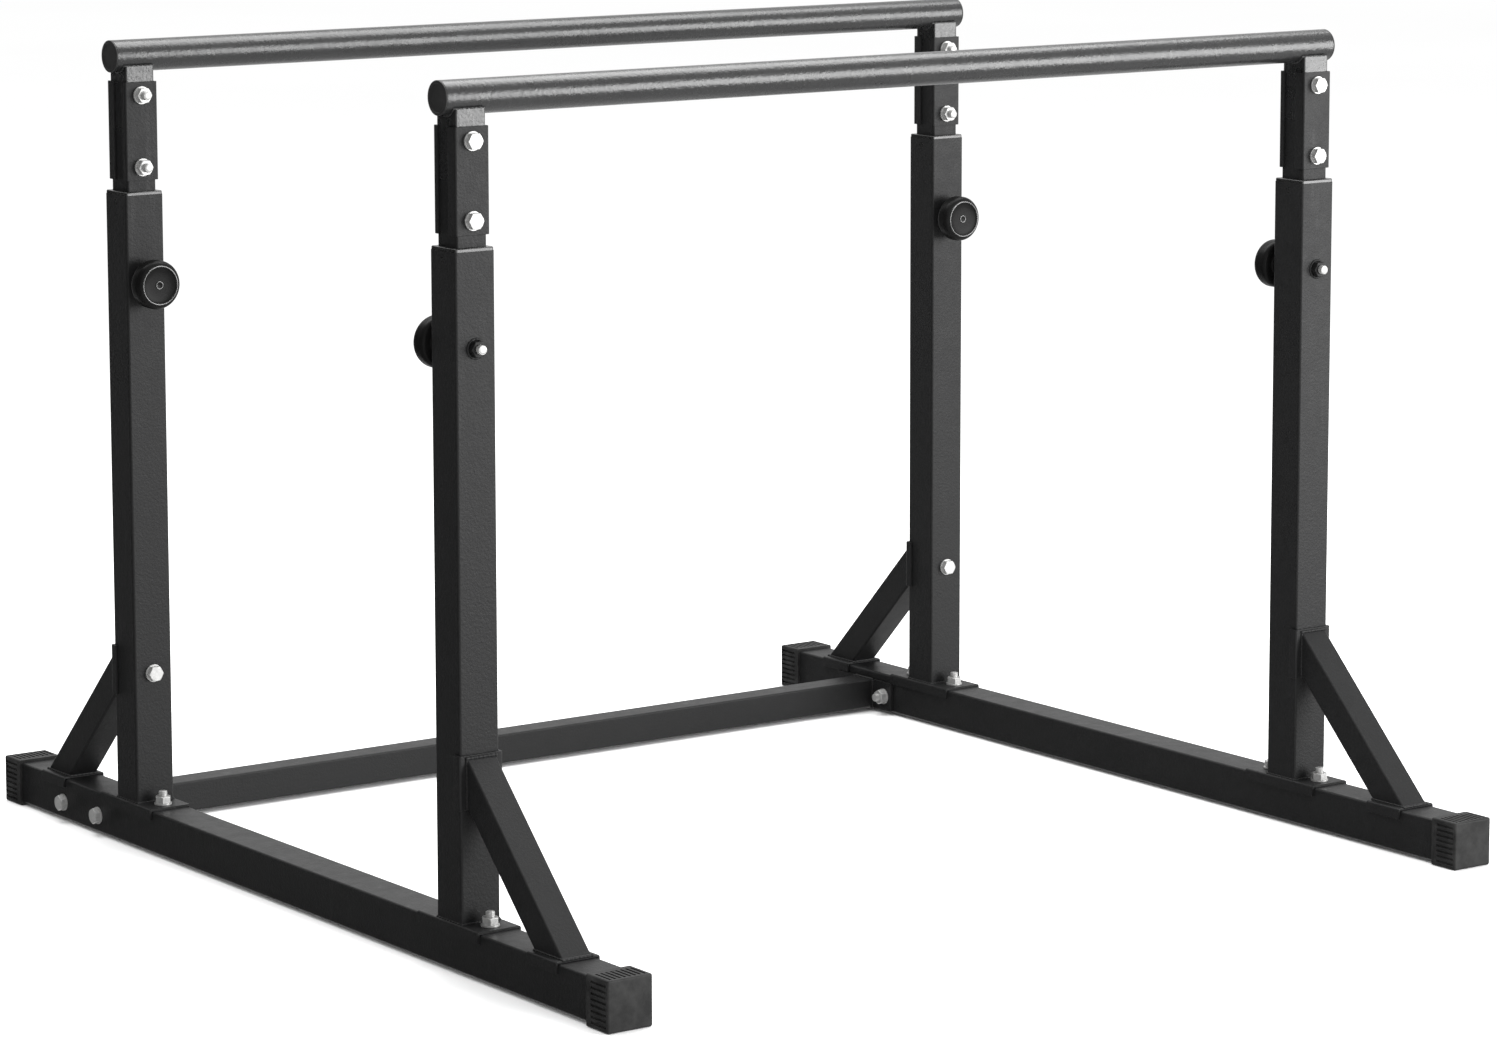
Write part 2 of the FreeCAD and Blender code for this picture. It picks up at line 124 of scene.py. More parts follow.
def at_every_corner(piece, ending, body_of_corner):
    """Puts a copy at each corner, makes it ride, and removes the pattern."""
    made = []
    for bar, side in CORNERS:
        copy = copy_of(piece, f"{bar}_{side}_{ending}", corner_matrix(bar, side))
        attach(copy, body_of_corner(bar, side))
        made.append(copy)
    discard(piece)
    return made


def on_frame(bar, side):
    return "floor_frame"


def on_bar(bar, side):
    return f"{bar}_bar_set"


def on_screw(bar, side):
    return f"{bar}_{side}_lock_screw"


# %% [markdown]
# ## Writing materials as sums
# Node trees get long when each Math node is placed by hand. A small class wraps a socket, so that
# `0.4 + 0.1 * cloud` adds the Math nodes by itself. Every other node comes from one method, which
# takes the node's type, its settings and what its sockets hold.

# %% A socket with arithmetic, and a finish that makes nodes
class Wire:
    def __init__(self, finish, socket):
        self.finish = finish
        self.socket = socket

    def combine(self, operation, first, second):
        operands = {0: first, 1: second}
        return self.finish.node("ShaderNodeMath", {"operation": operation}, operands)

    def __add__(self, other):
        return self.combine("ADD", self, other)

    def __sub__(self, other):
        return self.combine("SUBTRACT", self, other)

    def __mul__(self, other):
        return self.combine("MULTIPLY", self, other)

    __radd__ = __add__
    __rmul__ = __mul__


class Finish:
    """One material. Its shader's constant values are set once and its wired values are linked."""

    def __init__(self, name, **constants):
        self.material = bpy.data.materials.new(name)
        self.material.use_nodes = True
        self.tree = self.material.node_tree
        self.shader = self.tree.nodes["Principled BSDF"]
        for socket, value in constants.items():
            self.shader.inputs[socket.replace("_", " ")].default_value = value

    def node(self, kind, settings=None, sockets=None, output=0):
        made = self.tree.nodes.new(kind)
        for setting, value in (settings or {}).items():
            if setting == "stops":
                self.set_stops(made.color_ramp, value)
            else:
                setattr(made, setting, value)
        for socket, value in (sockets or {}).items():
            if isinstance(value, Wire):
                self.tree.links.new(value.socket, made.inputs[socket])
            else:
                made.inputs[socket].default_value = value
        return Wire(self, made.outputs[output])

    @staticmethod
    def set_stops(ramp, stops):
        while len(ramp.elements) < len(stops):
            ramp.elements.new(0.5)
        for element, (position, colour) in zip(ramp.elements, stops):
            element.position = position
            element.color = colour

    def place(self, stretch=(1, 1, 1)):
        """Object coordinates, stretched along an axis where a pattern has a direction."""
        where = self.node("ShaderNodeTexCoord", output="Object")
        if stretch == (1, 1, 1):
            return where
        return self.node("ShaderNodeMapping", sockets={"Vector": where, "Scale": stretch})

    def noise(self, per_metre, detail=2.0, roughness=0.5, stretch=(1, 1, 1)):
        values = {"Vector": self.place(stretch), "Scale": per_metre,
                  "Detail": detail, "Roughness": roughness}
        return self.node("ShaderNodeTexNoise", sockets=values)

    def ramp(self, factor, *stops):
        grey = [(position, (level, level, level, 1)) for position, level in stops]
        return self.node("ShaderNodeValToRGB", {"stops": grey}, {"Fac": factor})

    def blend(self, factor, first, second):
        """Mixes two colours."""
        colours = {"Factor": factor, 6: first, 7: second}
        return self.node("ShaderNodeMix", {"data_type": "RGBA"}, colours, output=2)

    def bump(self, height, depth, strength=1.0):
        values = {"Height": height, "Distance": depth, "Strength": strength}
        return self.node("ShaderNodeBump", sockets=values, output="Normal")

    def wire(self, **inputs):
        for socket, wire in inputs.items():
            self.tree.links.new(wire.socket, self.shader.inputs[socket.replace("_", " ")])
        return self.material


def paint(piece, material):
    piece.data.materials.clear()
    piece.data.materials.append(material)


# %% [markdown]
# ## Black powder coat
# The frame is dusted with powder and baked. The skin that comes out is never a mirror: it has a
# shallow orange peel a few millimetres across, a faint cloudiness where the powder lies thicker,
# specks of dust, and faint rub marks that run up and down. The bars and their legs carry the same
# black in a glossier skin, which hands polish further.

# %% Powder coat
def powder_coat(name, tone, gloss, peel_size, peel_depth, shine):
    finish = Finish(name, Specular_IOR_Level=shine)
    cloud = finish.noise(per_metre=9, detail=5, roughness=0.6)
    mottle = finish.noise(per_metre=70, detail=3, roughness=0.6)
    peel = finish.noise(1 / peel_size, detail=3, roughness=0.55)
    speck = finish.ramp(finish.noise(per_metre=2200, detail=1), (0.68, 0), (0.73, 1))
    rub = finish.noise(per_metre=60, detail=3, roughness=0.7, stretch=(1, 1, 0.08))
    rub = finish.ramp(rub, (0.60, 0), (0.70, 1))
    dark = (tone * 0.75, tone * 0.76, tone * 0.78, 1)
    light = (tone * 1.25, tone * 1.26, tone * 1.28, 1)
    dust = (tone * 5, tone * 5, tone * 5, 1)
    colour = finish.blend(0.5 * cloud + 0.5 * mottle, dark, light)
    colour = finish.blend(speck * 0.25, colour, dust)
    rough = gloss + 0.14 * (cloud - 0.5) + 0.16 * (mottle - 0.5) + 0.06 * speck - 0.06 * rub
    normal = finish.bump(peel + 0.2 * speck, peel_depth)
    return finish.wire(Base_Color=colour, Roughness=rough, Normal=normal)


frame_coat = powder_coat("frame_powder_coat", tone=0.0095, gloss=0.44, peel_size=3.0 * MM,
                         peel_depth=0.30 * MM, shine=0.16)
bar_coat = powder_coat("bar_powder_coat", tone=0.0100, gloss=0.28, peel_size=4.0 * MM,
                       peel_depth=0.40 * MM, shine=0.52)
print("coats:", frame_coat.name, bar_coat.name)

# %% [markdown]
# ## Bright zinc
# Bolts, nuts and washers are plated. Zinc is a metal, so most of its colour is its reflection,
# which a fine grain and a few dull stains break up. The clear film over the plating is hazy and
# scatters the rest of the light, so the finish is set between a metal and a paint.

# %% Zinc
def zinc_plate():
    finish = Finish("bright_zinc", Metallic=0.55)
    stain = finish.noise(per_metre=240, detail=4, roughness=0.6)
    grain = finish.noise(per_metre=2500, detail=2)
    dull, bright = (0.24, 0.24, 0.235, 1), (0.50, 0.50, 0.495, 1)
    colour = finish.blend(stain, dull, bright)
    rough = 0.26 + 0.18 * stain + 0.08 * grain
    normal = finish.bump(grain, depth=0.03 * MM)
    return finish.wire(Base_Color=colour, Roughness=rough, Normal=normal)


zinc = zinc_plate()
print("metal:", zinc.name)

# %% [markdown]
# ## Rubber and moulded plastic
# The rail caps are rubber: nearly matt, with a coarse skin and pale dust that settles in it. The
# knobs are moulded against a spark-eroded die, which leaves an even fine grain, and only the lip
# round their face is polished, by the die and then by fingers. The end plugs and the sleeves in
# the uprights' mouths are plain black plastic, and the sleeves are glossier than the plugs.

# %% Rubber and plastics
def moulded(name, tone, gloss, shine, grain_size, grain_depth, dust):
    finish = Finish(name, Specular_IOR_Level=shine)
    cloud = finish.noise(per_metre=35, detail=5, roughness=0.65)
    grain = finish.noise(1 / grain_size, detail=2)
    settled = finish.ramp(cloud, (0.42, 0), (0.75, 1)) * dust
    clean, dusty = (tone, tone, tone, 1), (0.10, 0.10, 0.098, 1)
    colour = finish.blend(settled, clean, dusty)
    rough = gloss + 0.14 * (cloud - 0.5) + 0.10 * settled
    normal = finish.bump(grain, grain_depth)
    return finish.wire(Base_Color=colour, Roughness=rough, Normal=normal)


cap_rubber = moulded("cap_rubber", tone=0.012, gloss=0.50, shine=0.12,
                     grain_size=1.2 * MM, grain_depth=0.14 * MM, dust=0.20)
knob_plastic = moulded("knob_plastic", tone=0.004, gloss=0.36, shine=0.07,
                       grain_size=0.7 * MM, grain_depth=0.04 * MM, dust=0.03)
plug_plastic = moulded("plug_plastic", tone=0.014, gloss=0.50, shine=0.25,
                       grain_size=1.0 * MM, grain_depth=0.06 * MM, dust=0.10)
bush_plastic = moulded("bush_plastic", tone=0.010, gloss=0.26, shine=0.50,
                       grain_size=1.2 * MM, grain_depth=0.02 * MM, dust=0.06)
knob_lip = moulded("polished_lip", tone=0.030, gloss=0.14, shine=1.00,
                   grain_size=1.0 * MM, grain_depth=0.01 * MM, dust=0.03)
moulded_finishes = (cap_rubber, knob_plastic, plug_plastic, bush_plastic, knob_lip)
print("moulded:", [finish.name for finish in moulded_finishes])

# %% Finish every CAD node by its material slot
FINISHES = {
    "frame_paint": frame_coat,
    "bar_paint": bar_coat,
    "zinc": zinc,
    "cap_rubber": cap_rubber,
    "knob_plastic": knob_plastic,
    "plug_plastic": plug_plastic,
    "bush_plastic": bush_plastic,
}
slot_of = {part["node"]: part["material_slot"] for part in frame["record"]["subparts"]}
for name, piece in nodes.items():
    paint(piece, FINISHES[slot_of[name]])
print("finished nodes:", len(slot_of))

# %% [markdown]
# ## Softer cut edges
# A sawn or punched edge is never razor sharp once it is deburred and coated, and the thin bright
# line along it is what tells the eye that it is steel. The CAD meshes stay as they are: a Weld
# modifier joins their loose triangles, a Decimate gathers the ones that lie in one plane, and a
# Bevel rounds only the sharp corners. The last two modifiers keep wide flats flat in the shading.

# %% Round the sharp edges of the CAD nodes
EDGE_WIDTH = {
    "frame_paint": 0.8 * MM,
    "bar_paint": 0.5 * MM,
    "zinc": 0.25 * MM,
    "cap_rubber": 0.5 * MM,
    "bush_plastic": 0.3 * MM,
}
SHARP = math.radians(42)
FLAT = math.radians(0.5)
FACE_WEIGHT = 80


def soften(piece, width):
    join = piece.modifiers.new("join", "WELD")
    join.merge_threshold = TOUCHING
    flat = piece.modifiers.new("flat", "DECIMATE")
    flat.decimate_type = "DISSOLVE"
    flat.angle_limit = FLAT
    edge = piece.modifiers.new("edge", "BEVEL")
    edge.width = width
    edge.segments = 2
    edge.limit_method = "ANGLE"
    edge.angle_limit = SHARP
    edge.use_clamp_overlap = True
    crease = piece.modifiers.new("crease", "EDGE_SPLIT")
    crease.split_angle = SHARP
    crease.use_edge_sharp = False
    even = piece.modifiers.new("even", "WEIGHTED_NORMAL")
    even.weight = FACE_WEIGHT


for name, piece in nodes.items():
    if slot_of[name] in EDGE_WIDTH:
        soften(piece, EDGE_WIDTH[slot_of[name]])
print("softened:", sum(slot_of[name] in EDGE_WIDTH for name in nodes))

# %% [markdown]
# ## Weld beads
# Uprights, braces, legs, beam ends and lock nuts are welded on before the coat is baked. A weld
# is a row of small pools that froze one over the next. So one droplet is made, copied along the
# joint's line, joined, and remeshed into a single rippled skin.

# %% A bead along a line of points
BEAD_STEP = 1.9 * MM
BEAD_VOXEL = 0.6 * MM
SWELL = 0.10                 # how much a pool's size varies
SWELL_STEP = 2.3             # and how far apart two neighbours are in that wave


def bead(name, points, radius):
    bpy.ops.object.select_all(action="DESELECT")
    bpy.ops.mesh.primitive_ico_sphere_add(subdivisions=2, radius=radius, location=(0, 0, 0))
    drop = bpy.context.object
    pools = []
    for count, point in enumerate(points):
        swell = 1 + SWELL * math.sin(SWELL_STEP * count)
        matrix = Matrix.Translation(point) @ Matrix.Scale(swell, 4)
        pools.append(copy_of(drop, f"pool_{count}", matrix))
    discard(drop)
    pick(*pools)
    bpy.ops.object.join()
    made = bpy.context.object
    made.name = name
    skin = made.modifiers.new("skin", "REMESH")
    skin.mode = "VOXEL"
    skin.voxel_size = BEAD_VOXEL
    skin.use_smooth_shade = True
    bpy.ops.object.modifier_apply(modifier="skin")
    return made


def walk(corners, closed=True):
    """Points one bead step apart along straight runs between corners."""
    points = []
    ends = corners[1:] + corners[:1] if closed else corners[1:]
    for start, end in zip(corners, ends):
        count = max(1, round((end - start).length / BEAD_STEP))
        points += [start.lerp(end, step / count) for step in range(count)]
    return points


def ring(radius, at):
    """Points round a circle that faces along Y."""
    count = round(2 * math.pi * radius / BEAD_STEP)
    turns = [2 * math.pi * step / count for step in range(count)]
    return [at + Vector((radius * math.cos(turn), 0, radius * math.sin(turn))) for turn in turns]


# %% [markdown]
# The foot of each upright is welded all round on its saddle, and each diagonal brace at both of
# its slanted mouths.

# %% Welds on the frame
WELD = 2.1 * MM
CORNER_INSET = 1.0 * MM


def flat_loop(half_x, near, far, height):
    """A rectangle that lies level, in the corner frame."""
    return walk([Vector((-half_x, near, height)), Vector((half_x, near, height)),
                 Vector((half_x, far, height)), Vector((-half_x, far, height))])


def upright_loop(half_x, low, high, depth):
    """A rectangle that faces along Y, in the corner frame."""
    return walk([Vector((-half_x, depth, low)), Vector((half_x, depth, low)),
                 Vector((half_x, depth, high)), Vector((-half_x, depth, high))])


brace_low, brace_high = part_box("rear_right_brace")
brace_near = brace_low.y - upright_axis.y
brace_far = brace_high.y - upright_axis.y
brace_mouth = half_inner * 2 * math.sqrt(2)
reach = half_frame - CORNER_INSET
welds = at_every_corner(bead("foot_bead", flat_loop(reach, -reach, reach, saddle_top), WELD),
                        "upright_weld", on_frame)
half = half_inner - CORNER_INSET / 2
top_loop = upright_loop(half, brace_high.z - brace_mouth, brace_high.z, brace_near)
welds += at_every_corner(bead("brace_bead", top_loop, WELD), "brace_top_weld", on_frame)
foot_loop = flat_loop(half, brace_far - brace_mouth, brace_far, saddle_top)
welds += at_every_corner(bead("brace_bead", foot_loop, WELD), "brace_foot_weld", on_frame)
print("frame welds:", len(welds))

# %% [markdown]
# The nut that each lock bolt screws into is tacked round its edge on the upright's outer face.
# The cross beam's ends are welded to their plates.

# %% Welds round the lock nuts and the beam's ends
NUT_WELD = 1.7 * MM
NUT_WELD_OFFSET = 1.9 * MM   # from the nut's flats to the middle of the bead
nut_seat = Vector((0, half_frame, lock_height))
nut_ring = ring(HALF_HEX + NUT_WELD_OFFSET, nut_seat)
welds += at_every_corner(bead("nut_bead", nut_ring, NUT_WELD), "lock_nut_weld", on_frame)

beam_low, beam_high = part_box("cross_beam")
for side, sign in SIDES.items():
    x = sign * beam_high.x
    corners = [Vector((x, y, z)) for y, z in (
        (beam_low.y, beam_low.z), (beam_high.y, beam_low.z),
        (beam_high.y, beam_high.z), (beam_low.y, beam_high.z))]
    beam_weld = bead(f"cross_beam_{side}_weld", walk(corners), WELD)
    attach(beam_weld, "floor_frame")
    welds.append(beam_weld)
print("welds so far:", len(welds))

# %% [markdown]
# Each leg is sawn to wrap the round bar. Its two side walls meet the bar along an arc, and a thin
# run closes the gap in front and behind.

# %% Welds between the legs and the bars
LEG_WELD = 1.7 * MM
leg_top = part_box("rear_legs")[1].z
drop_below = bar_axis.z - leg_top
half_arc = math.acos(drop_below / bar_radius)
arc_count = round(2 * half_arc * bar_radius / BEAD_STEP)
leg_points = []
for x in (-half_inner, half_inner):
    for step in range(arc_count + 1):
        turn = half_arc * (2 * step / arc_count - 1)
        across, below = bar_radius * math.sin(turn), bar_radius * math.cos(turn)
        leg_points.append(Vector((x, across, bar_axis.z - below)))
run_y = bar_radius * math.sin(half_arc)
for y in (-run_y, run_y):
    start = Vector((-half_inner, y, leg_top))
    leg_points += walk([start, start + Vector((2 * half_inner, 0, 0))], closed=False)
leg_welds = at_every_corner(bead("leg_bead", leg_points, LEG_WELD), "leg_weld", on_bar)

for weld in welds:
    paint(weld, frame_coat)
for weld in leg_welds:
    paint(weld, bar_coat)
print("leg welds:", len(leg_welds))

# %% [markdown]
# ## Turned shapes
# Knobs and end plugs are round, so they are drawn as a lathe would cut them: a circle is extruded
# ring by ring along the axis, each ring scaled to its own radius, and the two ends are closed. A
# profile that comes back to its first point makes a closed hoop instead.

# %% A lathe
def lathe(name, profile, sides, sharp=30):
    """profile holds (radius, height) for each ring, from one end to the other, round +Z."""
    bpy.ops.object.select_all(action="DESELECT")
    radius, height = profile[0]
    bpy.ops.mesh.primitive_circle_add(vertices=sides, radius=radius, location=(0, 0, 0))
    made = bpy.context.object
    made.name = name
    made.data.transform(Matrix.Translation((0, 0, height)))
    bpy.ops.object.mode_set(mode="EDIT")
    bpy.ops.mesh.select_all(action="SELECT")
    for next_radius, next_height in profile[1:]:
        rise = {"value": (0, 0, next_height - height)}
        bpy.ops.mesh.extrude_region_move(TRANSFORM_OT_translate=rise)
        grow = next_radius / radius
        bpy.ops.transform.resize(value=(grow, grow, 1), center_override=(0, 0, next_height))
        radius, height = next_radius, next_height
    bpy.ops.mesh.select_all(action="SELECT")
    if profile[0] == profile[-1]:
        bpy.ops.mesh.remove_doubles(threshold=TOUCHING)
    else:
        bpy.ops.mesh.fill_holes(sides=0)
    bpy.ops.mesh.select_all(action="SELECT")
    bpy.ops.mesh.normals_make_consistent(inside=False)
    bpy.ops.object.mode_set(mode="OBJECT")
    bpy.ops.object.shade_smooth_by_angle(angle=math.radians(sharp))
    return made


def arc(centre, radius, start, end, count):
    """Profile points on a round corner. Angles are in degrees from the radius axis."""
    points = []
    for step in range(count + 1):
        turn = math.radians(start + (end - start) * step / count)
        points.append((centre[0] + radius * math.cos(turn), centre[1] + radius * math.sin(turn)))
    return points


# %% [markdown]
# ## Lock knobs
# A fat round knob with a waisted neck. Its face is dished inside a raised lip, with a small
# cupped button at the centre where the mould was fed. The grip's edge is fully rounded to be easy
# on the hand. The lip and the button's edge are rings of their own, because they have their own
# polish.

# %% Knob body
knob_size = span("rear_right_knob")
knob_radius = knob_size.x / 2
knob_depth = knob_size.y
bolt_radius = 4.9 * MM
neck_radius = 15.5 * MM
neck_edge = 1.0 * MM
neck_length = 5.5 * MM
neck_fillet = 4.5 * MM
back_height = 16.2 * MM      # where the grip's rear round meets its side
back_round = 6.5 * MM
front_round = 8.0 * MM
front_drop = 9.0 * MM        # from the face to where the front round meets the side
lip_radius = 22.6 * MM
lip_round = 0.8 * MM
dish = 3.4 * MM
button = 4.2 * MM
button_cup = 0.6 * MM        # its depth, and the radius of its floor
face_floor = knob_depth - dish

neck_centre = (neck_radius + neck_fillet, neck_length)
back_centre = (knob_radius - back_round, back_height)
front_centre = (knob_radius - front_round, knob_depth - front_drop)
knob_profile = [(bolt_radius, 0), (neck_radius - neck_edge, 0), (neck_radius, neck_edge)]
knob_profile += [(neck_radius, neck_length)]
knob_profile += arc(neck_centre, neck_fillet, 180, 100, 6)
knob_profile += arc(back_centre, back_round, -70, 0, 7)
knob_profile += arc(front_centre, front_round, 0, 70, 9)
knob_profile += [(lip_radius, knob_depth - 1.4 * MM)]
knob_profile += [(lip_radius - lip_round, knob_depth - 1.8 * MM)]
knob_profile += [(19.0 * MM, face_floor + 0.7 * MM), (14.0 * MM, face_floor + 0.25 * MM)]
knob_profile += [(9.0 * MM, face_floor), (button + 0.3 * MM, face_floor)]
knob_profile += [(button - 1.0 * MM, face_floor), (button_cup, face_floor - button_cup)]
neck_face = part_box("rear_right_knob")[1].y - upright_axis.y
facing_in = Matrix.Translation((0, neck_face, lock_height)) @ Matrix.Rotation(math.pi / 2, 4, "X")
knob = lathe("knob_pattern", knob_profile, sides=96, sharp=35)
knob.data.transform(facing_in)
knobs = at_every_corner(knob, "knob_moulding", on_screw)
for (bar, side), piece in zip(CORNERS, knobs):
    paint(piece, knob_plastic)
    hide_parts(f"{bar}_{side}_knob")
print("knobs:", [piece.name for piece in knobs])

# %% Polished lips
BUTTON_RISE = 1.1 * MM
BUTTON_ROUND = 0.75 * MM
LIP_DEPTH = 2.6              # how deep a hoop reaches, in thicknesses


def lip(radius, height, thickness):
    """A hoop with a round crest, whose foot is sunk in the face."""
    crest = arc((radius, height - thickness), thickness, 180, 0, 8)
    foot = height - LIP_DEPTH * thickness
    inner = (radius - thickness, foot)
    return lathe("lip", [inner] + crest + [(radius + thickness, foot), inner], sides=96)


rings = [lip(lip_radius, knob_depth, lip_round),
         lip(button, face_floor + BUTTON_RISE, BUTTON_ROUND)]
pick(*rings)
bpy.ops.object.join()
lips = bpy.context.view_layer.objects.active
lips.data.transform(facing_in)
for piece in at_every_corner(lips, "knob_lips", on_screw):
    paint(piece, knob_lip)
print("knob lips: 4")

# %% [markdown]
# ## Bar end plugs
# A push-in plug closes each end of a bar. Its flange is as wide as the bar, with a worn round
# edge, a shallow ring and a face that is a little hollow.

# %% End plugs
bar_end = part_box("rear_bar")[1].x
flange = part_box("rear_bar_end_plugs")[1].x - bar_end
stem = bar_radius - 2.1 * MM
stem_length = 18 * MM
stem_taper = 4 * MM
edge_round = 0.9 * MM
ring_depth = 0.5 * MM
edge_centre = (bar_radius - edge_round, flange - edge_round)
plug_profile = [(stem - 1.5 * MM, -stem_length), (stem, stem_taper - stem_length), (stem, 0)]
plug_profile += [(bar_radius - 0.3 * MM, 0)]
plug_profile += arc(edge_centre, edge_round, 0, 90, 4)
plug_profile += [(bar_radius - 3.2 * MM, flange), (bar_radius - 3.8 * MM, flange - ring_depth)]
plug_profile += [(bar_radius - 5.4 * MM, flange - ring_depth), (6 * MM, flange - 0.8 * MM)]
plug_profile += [(0.8 * MM, flange - 0.85 * MM)]
plug = lathe("plug_pattern", plug_profile, sides=72, sharp=35)

for bar in BARS:
    pair = []
    for side, sign in SIDES.items():
        at = Matrix.Translation((sign * bar_end, BARS[bar] * bar_axis.y, bar_axis.z))
        turn = Matrix.Rotation(sign * math.pi / 2, 4, "Y")
        pair.append(copy_of(plug, f"{bar}_{side}_end_plug", at @ turn))
    for piece in pair:
        paint(piece, plug_plastic)
        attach(piece, f"{bar}_bar_set")
        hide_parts(f"{bar}_bar_end_plugs")
discard(plug)
print("end plugs: 4")

# %% [markdown]
# ## Threads
# Every bolt shows a few turns of thread beyond its nut. One ridge is a small triangle swept along
# a helix by a Screw modifier, and a low dome closes the end.

# %% One length of thread
THREAD_RADIUS = 5.0 * MM
PITCH = 1.5 * MM
RIDGE = 0.55 * MM
RIDGE_INSET = 0.25 * MM
FIRST_RIDGE = 0.6 * MM       # the height at which the helix starts
HELIX_STEPS = 24             # in each turn
DOME = [(1.0, -0.5), (1.0, 0.2), (0.93, 0.75), (0.84, 1.0), (0.4, 1.1)]


def thread(name, length):
    bpy.ops.object.select_all(action="DESELECT")
    bpy.ops.mesh.primitive_circle_add(vertices=3, radius=RIDGE, location=(0, 0, 0))
    ridge = bpy.context.object
    upright = Matrix.Rotation(math.pi / 2, 4, "Y") @ Matrix.Rotation(math.pi / 2, 4, "X")
    start = Matrix.Translation((THREAD_RADIUS - RIDGE_INSET, 0, FIRST_RIDGE))
    ridge.data.transform(start @ upright)
    screw = ridge.modifiers.new("helix", "SCREW")
    screw.axis = "Z"
    screw.screw_offset = PITCH
    screw.iterations = max(1, round((length - 2 * FIRST_RIDGE) / PITCH))
    screw.steps = HELIX_STEPS
    screw.render_steps = HELIX_STEPS
    bpy.ops.object.modifier_apply(modifier="helix")
    bpy.ops.object.mode_set(mode="EDIT")
    bpy.ops.mesh.select_all(action="SELECT")
    bpy.ops.mesh.remove_doubles(threshold=TOUCHING)
    bpy.ops.mesh.fill_holes(sides=0)
    bpy.ops.mesh.select_all(action="SELECT")
    bpy.ops.mesh.normals_make_consistent(inside=False)
    bpy.ops.object.mode_set(mode="OBJECT")
    end = [(share * THREAD_RADIUS, length + rise * MM) for share, rise in DOME]
    tip = lathe("tip", end, sides=32)
    pick(ridge, tip)
    bpy.ops.object.join()
    ridge.name = name
    return ridge


def aim(base, direction):
    """Moves +Z at the origin onto base, pointing along direction."""
    turn = Vector(direction).to_track_quat("Z", "Y").to_matrix().to_4x4()
    return Matrix.Translation(base) @ turn


def threads_at(name, places, length, body):
    """One piece that holds the thread at each place; a place is a base point and a direction."""
    pattern = thread("thread_pattern", length)
    copies = [copy_of(pattern, f"{name}_{count}", aim(*place))
              for count, place in enumerate(places)]
    discard(pattern)
    pick(*copies)
    if len(copies) > 1:
        bpy.ops.object.join()
    made = bpy.context.view_layer.objects.active
    made.name = name
    paint(made, zinc)
    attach(made, body)
    return made


# %% Threads beyond every nut
DOME_ROOM = 0.7 * MM         # what is left for the dome beyond the last turn
saddle_nut_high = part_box("saddle_nuts")[1]
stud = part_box("saddle_bolts")[1].z - saddle_nut_high.z - DOME_ROOM
saddle_offset = (saddle_nut_high.y - HALF_HEX) - upright_axis.y
places = []
for bar, side in CORNERS:
    for offset in (-saddle_offset, saddle_offset):
        base = corner_matrix(bar, side) @ Vector((0, offset, saddle_nut_high.z))
        places.append((base, (0, 0, 1)))
threads_at("saddle_bolt_threads", places, stud, "floor_frame")

beam_nut_low, beam_nut_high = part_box("beam_nuts")
places = []
for sign in SIDES.values():
    for y in (beam_nut_low.y + HALF_HEX, beam_nut_high.y - HALF_HEX):
        inner_face = abs(beam_nut_high.x) - NUT_HEIGHT
        places.append((Vector((sign * inner_face, y, middle("beam_nuts").z)), (-sign, 0, 0)))
threads_at("beam_bolt_threads", places, stud, "floor_frame")

for bar, sign in BARS.items():
    nut_low, nut_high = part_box(f"{bar}_splice_nuts")
    inner_y = nut_low.y if sign > 0 else nut_high.y
    places = []
    for side_sign in SIDES.values():
        for z in (nut_low.z + HALF_HEX, nut_high.z - HALF_HEX):
            places.append((Vector((side_sign * upright_axis.x, inner_y, z)), (0, -sign, 0)))
    threads_at(f"{bar}_splice_bolt_threads", places, stud, f"{bar}_bar_set")
    for side, side_sign in SIDES.items():
        outer_y = sign * (upright_axis.y + half_frame + NUT_HEIGHT)
        place = (Vector((side_sign * upright_axis.x, outer_y, lock_height)), (0, sign, 0))
        name = f"{bar}_{side}_lock_bolt_thread"
        threads_at(name, [place], stud, f"{bar}_{side}_lock_screw")
print("threads: saddle, beam, splice and lock bolts")

# %% [markdown]
# ## Floor, light and camera
# Black paint shows little but what it reflects, so the light is built from what the faces should
# see: an even white sky, a tall soft box at the front right that fills the faces towards the
# viewer and draws the line along the middle of the bars, and a wide one overhead that draws the
# line along their tops. A narrow strip by the viewer runs a thin light down every round corner. A
# black card on the left, which only reflections see, keeps the faces on that side deep black. The
# floor is left out of reflections for the same reason: the sky stands for it there.

# %% Floor
FLOOR_REACH = 60.0
FLOOR_DROP = 0.2 * MM        # keeps the floor clear of the caps' lowest faces


def pale_floor():
    finish = Finish("pale_floor", Specular_IOR_Level=0.0, Roughness=1.0)
    drift = finish.noise(per_metre=0.6, detail=3)
    colour = finish.blend(drift, (0.90, 0.90, 0.90, 1), (0.93, 0.93, 0.93, 1))
    return finish.wire(Base_Color=colour)


bpy.ops.object.select_all(action="DESELECT")
bpy.ops.mesh.primitive_plane_add(size=2 * FLOOR_REACH, location=(0, 0, -FLOOR_DROP))
floor = bpy.context.object
floor.name = "floor"
floor.visible_glossy = False
paint(floor, pale_floor())

# %% Light
LIT_POINT = Vector((0, 0, 0.9))
SKY = 1.08


def soft_box(name, at, width, height, power):
    light = bpy.data.lights.new(name, "AREA")
    light.shape = "RECTANGLE"
    light.size = width
    light.size_y = height
    light.energy = power
    box = bpy.data.objects.new(name, light)
    box.location = at
    box.rotation_euler = (LIT_POINT - Vector(at)).to_track_quat("-Z", "Y").to_euler()
    box.visible_camera = False
    bpy.context.scene.collection.objects.link(box)


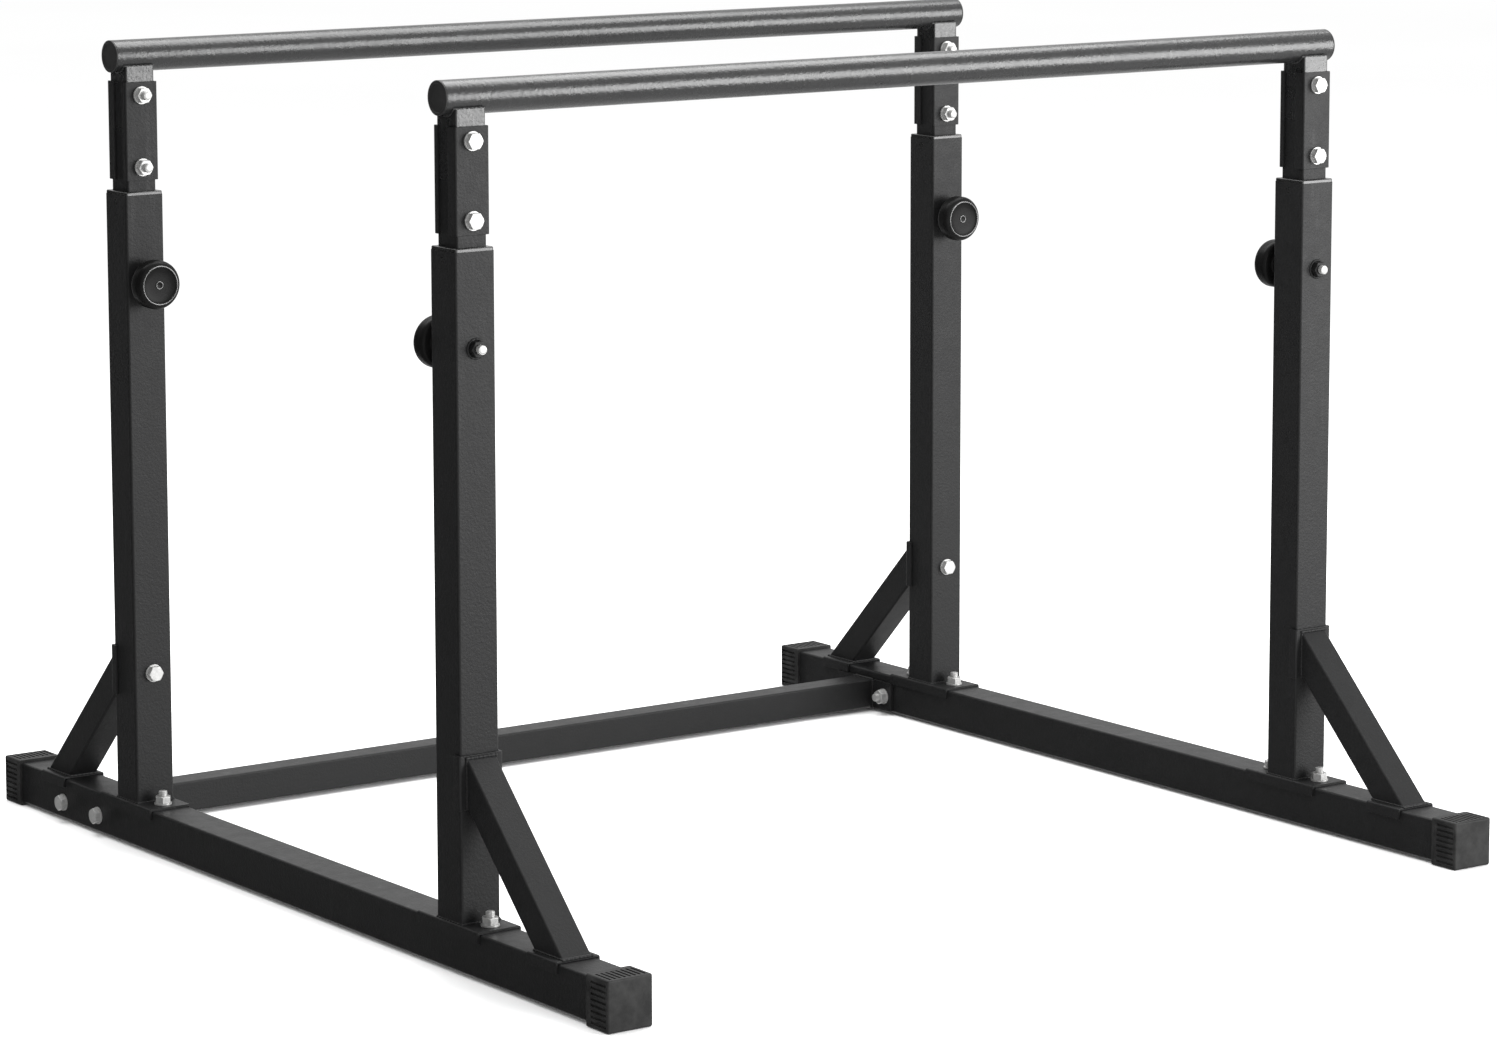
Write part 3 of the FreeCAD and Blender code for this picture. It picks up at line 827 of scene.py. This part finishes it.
soft_box("front_right_box", at=(3.2, -4.4, 1.05), width=3.6, height=2.8, power=380)
soft_box("overhead_box", at=(0.4, 0.7, 3.5), width=4.5, height=2.0, power=190)
soft_box("edge_strip", at=(-0.7, -6.0, 1.0), width=0.6, height=2.6, power=45)

world = bpy.data.worlds.new("studio")
bpy.context.scene.world = world
world.use_nodes = True
sky = world.node_tree.nodes["Background"]
sky.inputs["Color"].default_value = (1, 1, 1, 1)
sky.inputs["Strength"].default_value = SKY
bpy.context.scene.view_settings.view_transform = "Standard"

# %% Black card
CARD_PLACE = Vector((-2.2, 3.5, 0))
CARD_SIZE = 10


def black_card():
    finish = Finish("black_card", Specular_IOR_Level=0.0, Roughness=1.0)
    shade = finish.noise(per_metre=0.5)
    colour = finish.blend(shade, (0.002, 0.002, 0.002, 1), (0.004, 0.004, 0.004, 1))
    return finish.wire(Base_Color=colour)


bpy.ops.object.select_all(action="DESELECT")
bpy.ops.mesh.primitive_plane_add(size=CARD_SIZE, location=(0, 0, 0))
card = bpy.context.object
card.name = "black_card"
facing_along_x = Matrix.Rotation(math.pi / 2, 4, "Y")
card.data.transform(Matrix.Translation(CARD_PLACE) @ facing_along_x)
card.visible_camera = False
card.visible_diffuse = False
card.visible_shadow = False
card.visible_transmission = False
paint(card, black_card())
print("card at x =", CARD_PLACE.x)

# %% [markdown]
# ## Camera
# The camera stands off the front left corner, higher than the bars, and looks a little down. A
# long lens keeps the far side nearly as large as the near one, and a vertical shift lets the
# camera stay more level, so the uprights look nearly parallel.

# %% Camera
CAMERA_PLACE = Vector((-3.418, -4.794, 1.3925))
CAMERA_TURN = math.radians(35.76)      # from +Y towards +X
CAMERA_TILT = math.radians(7.98)       # below level
CAMERA_ROLL = math.radians(-0.095)

camera_data = bpy.data.cameras.new("camera")
camera_data.sensor_width = 36.0
camera_data.lens = 119.25
camera_data.shift_y = -0.10
camera = bpy.data.objects.new("camera", camera_data)
aimed = Matrix.Rotation(-CAMERA_TURN, 4, "Z") @ Matrix.Rotation(math.pi / 2 - CAMERA_TILT, 4, "X")
roll = Matrix.Rotation(CAMERA_ROLL, 4, "Z")
camera.matrix_world = Matrix.Translation(CAMERA_PLACE) @ aimed @ roll
bpy.context.scene.collection.objects.link(camera)
bpy.context.scene.camera = camera
print("camera:", camera.location)
